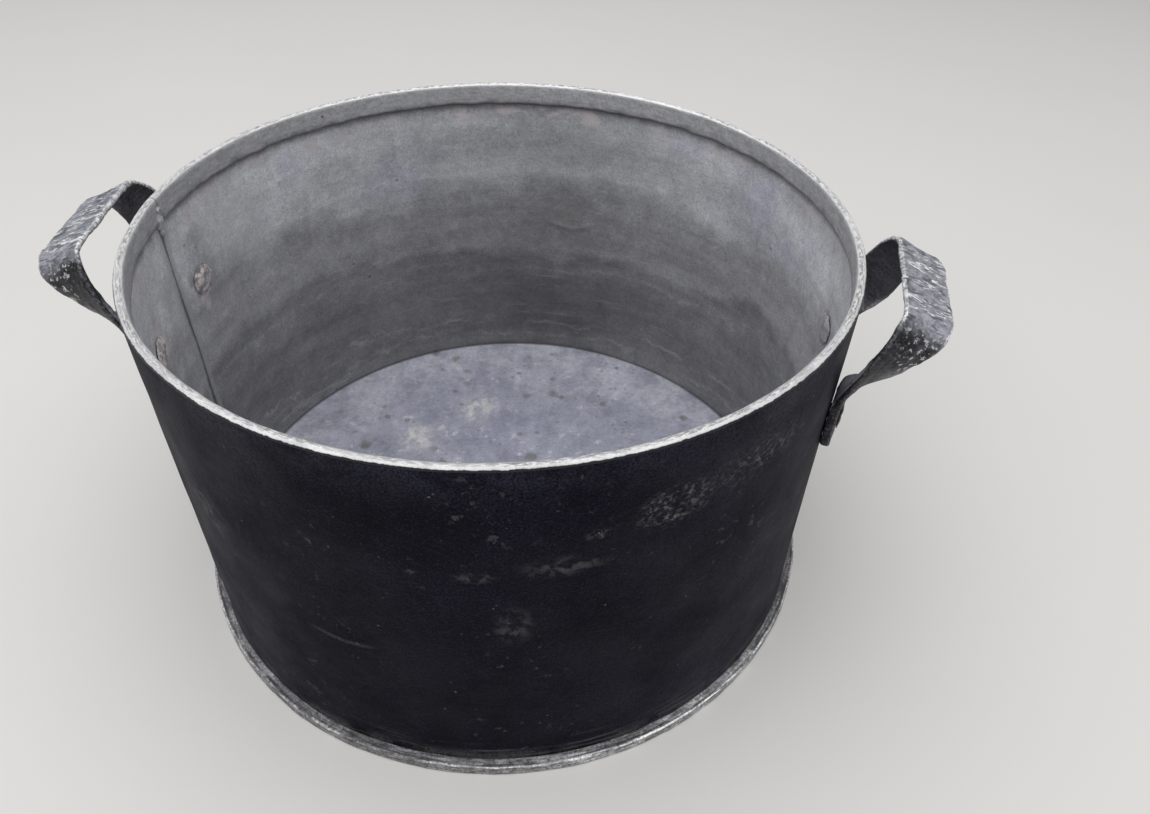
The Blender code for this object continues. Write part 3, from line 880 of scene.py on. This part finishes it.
def makeSeamRing():
    d = seamRing
    beginMaterial("seamRing")
    around = putNode("ShaderNodeCombineXYZ")
    link(times(keptValue("footGap"), 0.10), around.inputs["X"])
    link(keptValue("foldRadius"), around.inputs["Y"])
    link(heightOf(), around.inputs["Z"])
    lines = noiseOn(760.0, 4.0, 0.6, on=around.outputs["Vector"])
    grainy = noiseOn(420.0, 5.0, 0.7)
    colour = blend(blotches((55.0, 6.0, 0.68), 0.38, 0.60), d["dull"], d["bare"])
    colour = shade(colour, stretch(lines, 0.36, 0.64, 0.40, 1.70, False))
    colour = blend(times(stretch(grainy, 0.49, 0.64), 0.7), colour, d["grime"])
    # the shoulder is rubbed bright, more in some stretches than in others
    shoulder = stretch(gapTo(keptValue("foldTurn"), 0.60), 0.15, 0.48, 1.0, 0.0)
    stretches = combine("MAXIMUM", blotches((15.0, 5.0, 0.65), 0.40, 0.56, 0.25, 1.0),
                        nearPlace(d["rubbedAndLitPlace"], 0.030, 0.110))
    rubbed = times(shoulder, stretches)
    rubbed = times(rubbed, stretch(lines, 0.42, 0.56, 0.15, 1.0))
    rubbed = times(rubbed, stretch(grainy, 0.44, 0.62, 1.0, 0.35))
    colour = blend(rubbed, colour, d["bright"])
    colour = shade(colour, stretch(noiseOn(850.0, 2.0, 0.6), 0.34, 0.66, 0.68, 1.36, False))
    # painted light: the ring is lighter towards the front right, where the light falls on it
    colour = shade(colour, stretch(nearPlace(d["rubbedAndLitPlace"], 0.020, 0.150), 0.0, 1.0, 1.0, 1.65))
    # a dark line where the sheet is folded over, and soot creeping down from the wall
    fold = stretch(gapTo(keptValue("foldRadius"), 0.2020), 0.0002, 0.0007, 0.75, 0.0)
    fold = times(fold, blotches((30.0, 4.0), 0.42, 0.56))
    colour = blend(fold, colour, d["grime"])
    creep = sway((85.0, 6.0, 0.7), -0.0016, 0.0016)
    tucked = stretch(combine("ADD", keptValue("foldRadius"), creep), 0.1980, 0.1996, 0.45, 0.0)
    colour = blend(tucked, colour, d["grime"])
    bumps = [(noiseOn(130.0, 4.0), 0.35, 0.0018), (lines, 0.35, 0.0008), (grainy, 0.35, 0.0008)]
    return finishMaterial(colour, sway((110.0, 4.0), 0.42, 0.66), bumps, {"Metallic": 0.2})


materials["floorStain"] = makeFloorStain()
materials["seamRing"] = makeSeamRing()

bottom = {"fold": 0.0011, "ringHammer": 0.0012, "ringSize": 0.013, "ringStep": 0.006}


def buildBottom():
    w, d = wall, bottom
    pocket = w["footRadius"] + w["flangeReach"] + w["clear"]
    outer = pocket + w["sheet"]
    seamTop = 3 * w["sheet"] + 2 * w["clear"]
    grip = wallRadius(seamTop) + w["clear"]
    lip = seamTop - w["sheet"]
    b = d["fold"]
    section = [(0.0, 0.0)]
    section += stepsBetween(section[-1], (outer - b, 0.0), d["ringStep"])
    section += roundOff((outer - b, b), b, -90, 0, 5)[1:]
    section += stepsBetween(section[-1], (outer, seamTop - b), 0.0014)
    section += roundOff((outer - b, seamTop - b), b, 0, 90, 5)[1:]
    section += stepsBetween(section[-1], (grip, seamTop), 0.0011)
    section += [(grip, lip), (pocket, lip), (pocket, w["sheet"])]
    section += stepsBetween(section[-1], (0.0, w["sheet"]), d["ringStep"])
    piece = spinSection("potBottom", section, w["columns"], w["seamAngle"])

    # 0 on the upright side of the fold, 1 on its flat top
    def foldTurn(co):
        if co.z > seamTop - b - 0.00001 and radiusOf(co) > outer - b - 0.00001:
            return math.atan2(co.z - seamTop + b, radiusOf(co) - outer + b) / math.pi * 2
        return 1.5 if co.z > seamTop - 0.0001 else -0.5

    def footGap(co):
        angle = angleOf(co, w["seamAngle"])
        return math.radians(min(angle, 360.0 - angle)) * w["footRadius"]

    keepValue(piece, "foldTurn", foldTurn)
    keepValue(piece, "foldRadius", radiusOf)
    keepValue(piece, "footGap", footGap)
    for name in ("floorStain", "seamRing", "sootSkin"):
        piece.data.materials.append(materials[name])
    for face in piece.data.polygons:
        r = radiusOf(face.center)
        if face.center.z < 0.0004 and r < outer - 2 * b:
            face.material_index = 2
        elif r > w["footRadius"] - w["sheet"]:
            face.material_index = 1
    hammer = makeClouds("ringHammer", d["ringSize"], 2)
    group = weighVerts(piece, "ring",
                       lambda co: 1.0 if radiusOf(co) > outer - 3 * b and co.z > 0.0005 else 0.0)
    shiftPiece(piece, hammer, "NORMAL", d["ringHammer"], group)
    bendOutOfTrue(piece)
    makeActive(piece)
    bpy.ops.object.shade_smooth_by_angle(angle=smoothAngle)
    return piece


potBottom = buildBottom()
print("bottom:", len(potBottom.data.polygons), "faces")
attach(potBottom, "root")
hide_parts("bottom_pan")


# Forged straps: rubbed bright by hands on the grip, sooty and coarse on the front leg and at the wall
strapIron = {"grip": (0.235, 0.24, 0.285), "pale": (0.42, 0.425, 0.475), "bright": (0.88, 0.89, 0.90),
             "dark": (0.032, 0.033, 0.039), "soot": (0.010, 0.010, 0.013), "back": (0.078, 0.079, 0.092),
             "lean": 6.85}


def makeStrapIron():
    d = strapIron
    beginMaterial("strapIron")
    across = placeCoords((0.34, 1.0, 0.6))
    blows = noiseOn(300.0, 4.0, 0.55, 1.1, on=across)
    coarse = noiseOn(190.0, 5.0, 0.65)
    fine = noiseOn(620.0, 3.0, 0.6)
    # place along the strap, the same for both handles: below 0 at the front leg, above 0 at the back leg
    lean = math.radians(d["lean"])
    alongStrap = combine("ADD", times(sidewaysOf(), math.sin(lean)), times(axisOf("Y"), math.cos(lean)))
    wander = sway((60.0, 5.0, 0.65), -0.003, 0.003)
    grip = blend(stretch(coarse, 0.36, 0.62), d["grip"], d["pale"])
    grip = blend(times(blotches((85.0, 4.0), 0.54, 0.66), 0.55), grip, d["dark"])
    grip = blend(stretch(blows, 0.36, 0.45, 0.55, 0.0), grip, d["dark"])
    # short bright marks across the strap, part worn metal and part painted highlights, and a bright line
    # along its edges
    marks = times(stretch(blows, 0.545, 0.60), blotches((80.0, 3.0), 0.39, 0.49))
    marks = times(marks, stretch(alongStrap, -0.036, -0.030))
    grip = blend(times(marks, 0.95), grip, d["bright"])
    edge = times(stretch(keptValue("edgeWear"), 0.55, 0.95), stretch(fine, 0.42, 0.58, 0.25, 1.0))
    grip = blend(edge, grip, d["bright"])
    leg = blend(stretch(coarse, 0.42, 0.66), d["soot"], d["dark"])
    leg = blend(times(stretch(fine, 0.54, 0.70), 0.28), leg, d["grip"])
    flecks = times(blotches((540.0, 4.0, 0.6), 0.56, 0.62, on=placeCoords((0.7, 1, 0.6))),
                   stretch(alongStrap, -0.052, -0.045))
    flecks = times(flecks, stretch(radiusNode(), 0.220, 0.226))
    leg = blend(times(flecks, 0.65), leg, d["bright"])
    leg = blend(times(edge, 0.15), leg, d["pale"])
    rubbed = times(stretch(combine("ADD", radiusNode(), wander), 0.209, 0.219),
                   stretch(combine("ADD", alongStrap, wander), -0.047, -0.037))
    colour = blend(rubbed, leg, grip)
    # painted shade: the back leg is smooth and painted dark on its front, the face turned from the light;
    # the front leg is painted lighter on its upward faces near its foot
    backLegShade = times(stretch(keptValue("facesFront"), 0.30, 0.60), stretch(alongStrap, 0.030, 0.036))
    colour = blend(backLegShade, colour, d["back"])
    # painted light: upward faces near the foot of the front leg are made paler
    low = times(stretch(radiusNode(), 0.209, 0.214, 0.9, 0.0), stretch(heightOf(), 0.170, 0.178))
    low = times(low, stretch(keptValue("facesUp"), 0.6, 1.0))
    colour = blend(low, colour, d["pale"])
    colour = shade(colour, stretch(fine, 0.25, 0.75, 0.72, 1.28, False))
    struck = combine("SUBTRACT", rubbed, times(rubbed, backLegShade))
    bumps = [(coarse, 0.50, 0.0022), (times(blows, struck), 0.60, 0.0026), (fine, 0.35, 0.0007)]
    return finishMaterial(colour, stretch(coarse, 0.3, 0.7, 0.36, 0.58, False), bumps,
                          {"Metallic": 0.2, "Specular IOR Level": 0.3})


# Rivets: flat sooty heads outside, tinned lumps inside with dark cracks and pinkish smears
rivetIron = {"head": (0.018, 0.018, 0.021), "rub": (0.07, 0.07, 0.076), "tinned": (0.40, 0.40, 0.415),
             "pink": (0.82, 0.71, 0.69), "crack": (0.07, 0.065, 0.06)}


def makeRivetIron():
    d = rivetIron
    beginMaterial("rivetIron")
    coarse = noiseOn(230.0, 5.0, 0.65)
    head = blend(stretch(coarse, 0.48, 0.70), d["head"], d["rub"])
    onLeft = stretch(axisOf("X"), -0.05, 0.05, 1.0, 0.25)
    pink = times(blotches((200.0, 5.0, 0.6), 0.47, 0.54), onLeft)
    tinned = blend(pink, d["tinned"], d["pink"])
    crack = blotches((160.0, 5.0, 0.65, 1.4), 0.55, 0.62)
    tinned = blend(times(crack, 0.5), tinned, d["crack"])
    outside = stretch(radiusNode(), 0.1972, 0.1990)
    colour = blend(outside, tinned, head)
    bumps = [(coarse, 0.55, 0.0020), (noiseOn(600.0, 3.0), 0.30, 0.0007)]
    return finishMaterial(colour, sway((120.0, 4.0), 0.42, 0.62), bumps, {"Metallic": 0.1})


materials["strapIron"] = makeStrapIron()
materials["rivetIron"] = makeRivetIron()

# hammer marks are given by size and depth, a pulled corner by where it starts and over what length
strap = {"grain": 0.0006, "soften": 10, "hammer": ((0.0110, 0.0012), (0.0042, 0.0008)),
         "corner": 0.0022, "cornerAlong": (0.024, 0.016), "cornerOut": (0.226, 0.010)}
rivet = {"grain": 0.0004, "soften": 7, "hammer": ((0.0065, 0.0022), (0.0028, 0.0008))}


# How far each vertex stands out from its neighbours: the edges that hands and pot hooks rub first
def markEdges(piece):
    bm = bmesh.new()
    bm.from_mesh(piece.data)
    bm.normal_update()
    wear = []
    for vert in bm.verts:
        steps = [vert.co - edge.other_vert(vert).co for edge in vert.link_edges]
        rise = sum(vert.normal.dot(step) / max(step.length, 1e-9) for step in steps)
        wear.append(rise / max(len(steps), 1))
    spread = []
    for vert in bm.verts:
        around = [wear[edge.other_vert(vert).index] for edge in vert.link_edges]
        spread.append((wear[vert.index] + sum(around)) / (1 + len(around)))
    top = sorted(spread)[int(0.96 * len(spread))]
    spread = [value / top for value in spread]
    front = [-v.normal.y for v in bm.verts]
    up = [v.normal.z - (v.normal.x * v.co.x + v.normal.y * v.co.y) / radiusOf(v.co) for v in bm.verts]
    bm.free()
    for name, values in (("edgeWear", spread), ("facesFront", front), ("facesUp", up)):
        layer = piece.data.attributes.new(name, "FLOAT", "POINT")
        layer.data.foreach_set("value", values)


# The outer corners of a grip are worn round: they are drawn in towards the pot
def roundCorners(piece, d):
    lean = math.radians(strapIron["lean"])
    start, over = d["cornerAlong"]
    startOut, overOut = d["cornerOut"]
    for vert in piece.data.vertices:
        r = radiusOf(vert.co)
        away = abs(abs(vert.co.x) * math.sin(lean) + vert.co.y * math.cos(lean))
        pull = d["corner"] * smoothShare((away - start) / over) * smoothShare((r - startOut) / overOut)
        vert.co.x *= (r - pull) / r
        vert.co.y *= (r - pull) / r


# A node's shape is copied, merged and made again as one even skin that can take hammer marks
def forgeNode(nodeName, name, finish, d):
    deselectAll()
    piece = bpy.data.objects.new(name, nodes[nodeName].data.copy())
    piece.data.name = name
    bpy.context.scene.collection.objects.link(piece)
    piece.data.materials.clear()
    piece.data.materials.append(materials[finish])
    startEdit(piece)
    bpy.ops.mesh.select_all(action="SELECT")
    bpy.ops.mesh.remove_doubles(threshold=0.00001)
    endEdit()
    evenSkin(piece, d["grain"], d["soften"])
    markEdges(piece)
    if "corner" in d:
        roundCorners(piece, d)
    for size, depth in d["hammer"]:
        shiftPiece(piece, makeClouds(name + "Hammer", size, 1), "NORMAL", depth)
    bendOutOfTrue(piece)
    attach(piece, "root")
    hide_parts(nodeName)
    print(name + ":", len(piece.data.polygons), "faces")


for side in ("right", "left"):
    forgeNode("handle_" + side, "strap" + side.title(), "strapIron", strap)
    for end in ("front", "back"):
        forgeNode("rivet_" + side + "_" + end, "rivet" + side.title() + end.title(), "rivetIron",
                  rivet)


# Floor, light and camera
studio = {"floorColour": (0.80, 0.79, 0.77), "lens": 27.41, "place": (0.08156, -0.43307, 0.47532),
          "turn": 4.75, "pitch": 40.82, "roll": 1.86, "worldLight": 0.3,
          "softboxPlace": (-0.15, -0.40, 2.0), "softboxSize": 3.6, "softboxPower": 56}


def makeStudio():
    d = studio
    deselectAll()
    bpy.ops.mesh.primitive_plane_add(size=12, location=(0, 0, 0))
    ground = bpy.context.object
    ground.name = "studioFloor"
    beginMaterial("floorPaper")
    colour = blend(blotches((3.0, 4.0), 0.3, 0.7), d["floorColour"],
                   tuple(c * 0.985 for c in d["floorColour"]))
    ground.data.materials.append(finishMaterial(colour, 0.9, [], {}))

    world = bpy.data.worlds.new("studioWorld")
    bpy.context.scene.world = world
    world.use_nodes = True
    back = world.node_tree.nodes["Background"]
    back.inputs["Color"].default_value = (1.0, 1.0, 1.0, 1.0)
    back.inputs["Strength"].default_value = d["worldLight"]

    deselectAll()
    bpy.ops.object.light_add(type="AREA", location=d["softboxPlace"])
    softbox = bpy.context.object
    softbox.name = "softbox"
    softbox.data.size = d["softboxSize"]
    softbox.data.energy = d["softboxPower"]
    softbox.rotation_euler = (Vector((0, 0, 0.1)) - softbox.location).to_track_quat("-Z", "Y").to_euler()

    cameraData = bpy.data.cameras.new("photoCamera")
    camera = bpy.data.objects.new("photoCamera", cameraData)
    bpy.context.scene.collection.objects.link(camera)
    cameraData.sensor_fit = "HORIZONTAL"
    cameraData.sensor_width = 36.0
    cameraData.lens = d["lens"]
    cameraData.clip_start = 0.01
    turn = (Matrix.Rotation(math.radians(d["turn"]), 4, "Z")
            @ Matrix.Rotation(math.radians(90.0 - d["pitch"]), 4, "X")
            @ Matrix.Rotation(math.radians(d["roll"]), 4, "Z"))
    camera.matrix_world = Matrix.Translation(d["place"]) @ turn
    bpy.context.scene.camera = camera
    bpy.context.scene.view_settings.view_transform = "Standard"


makeStudio()
print("floor, light and camera ready")
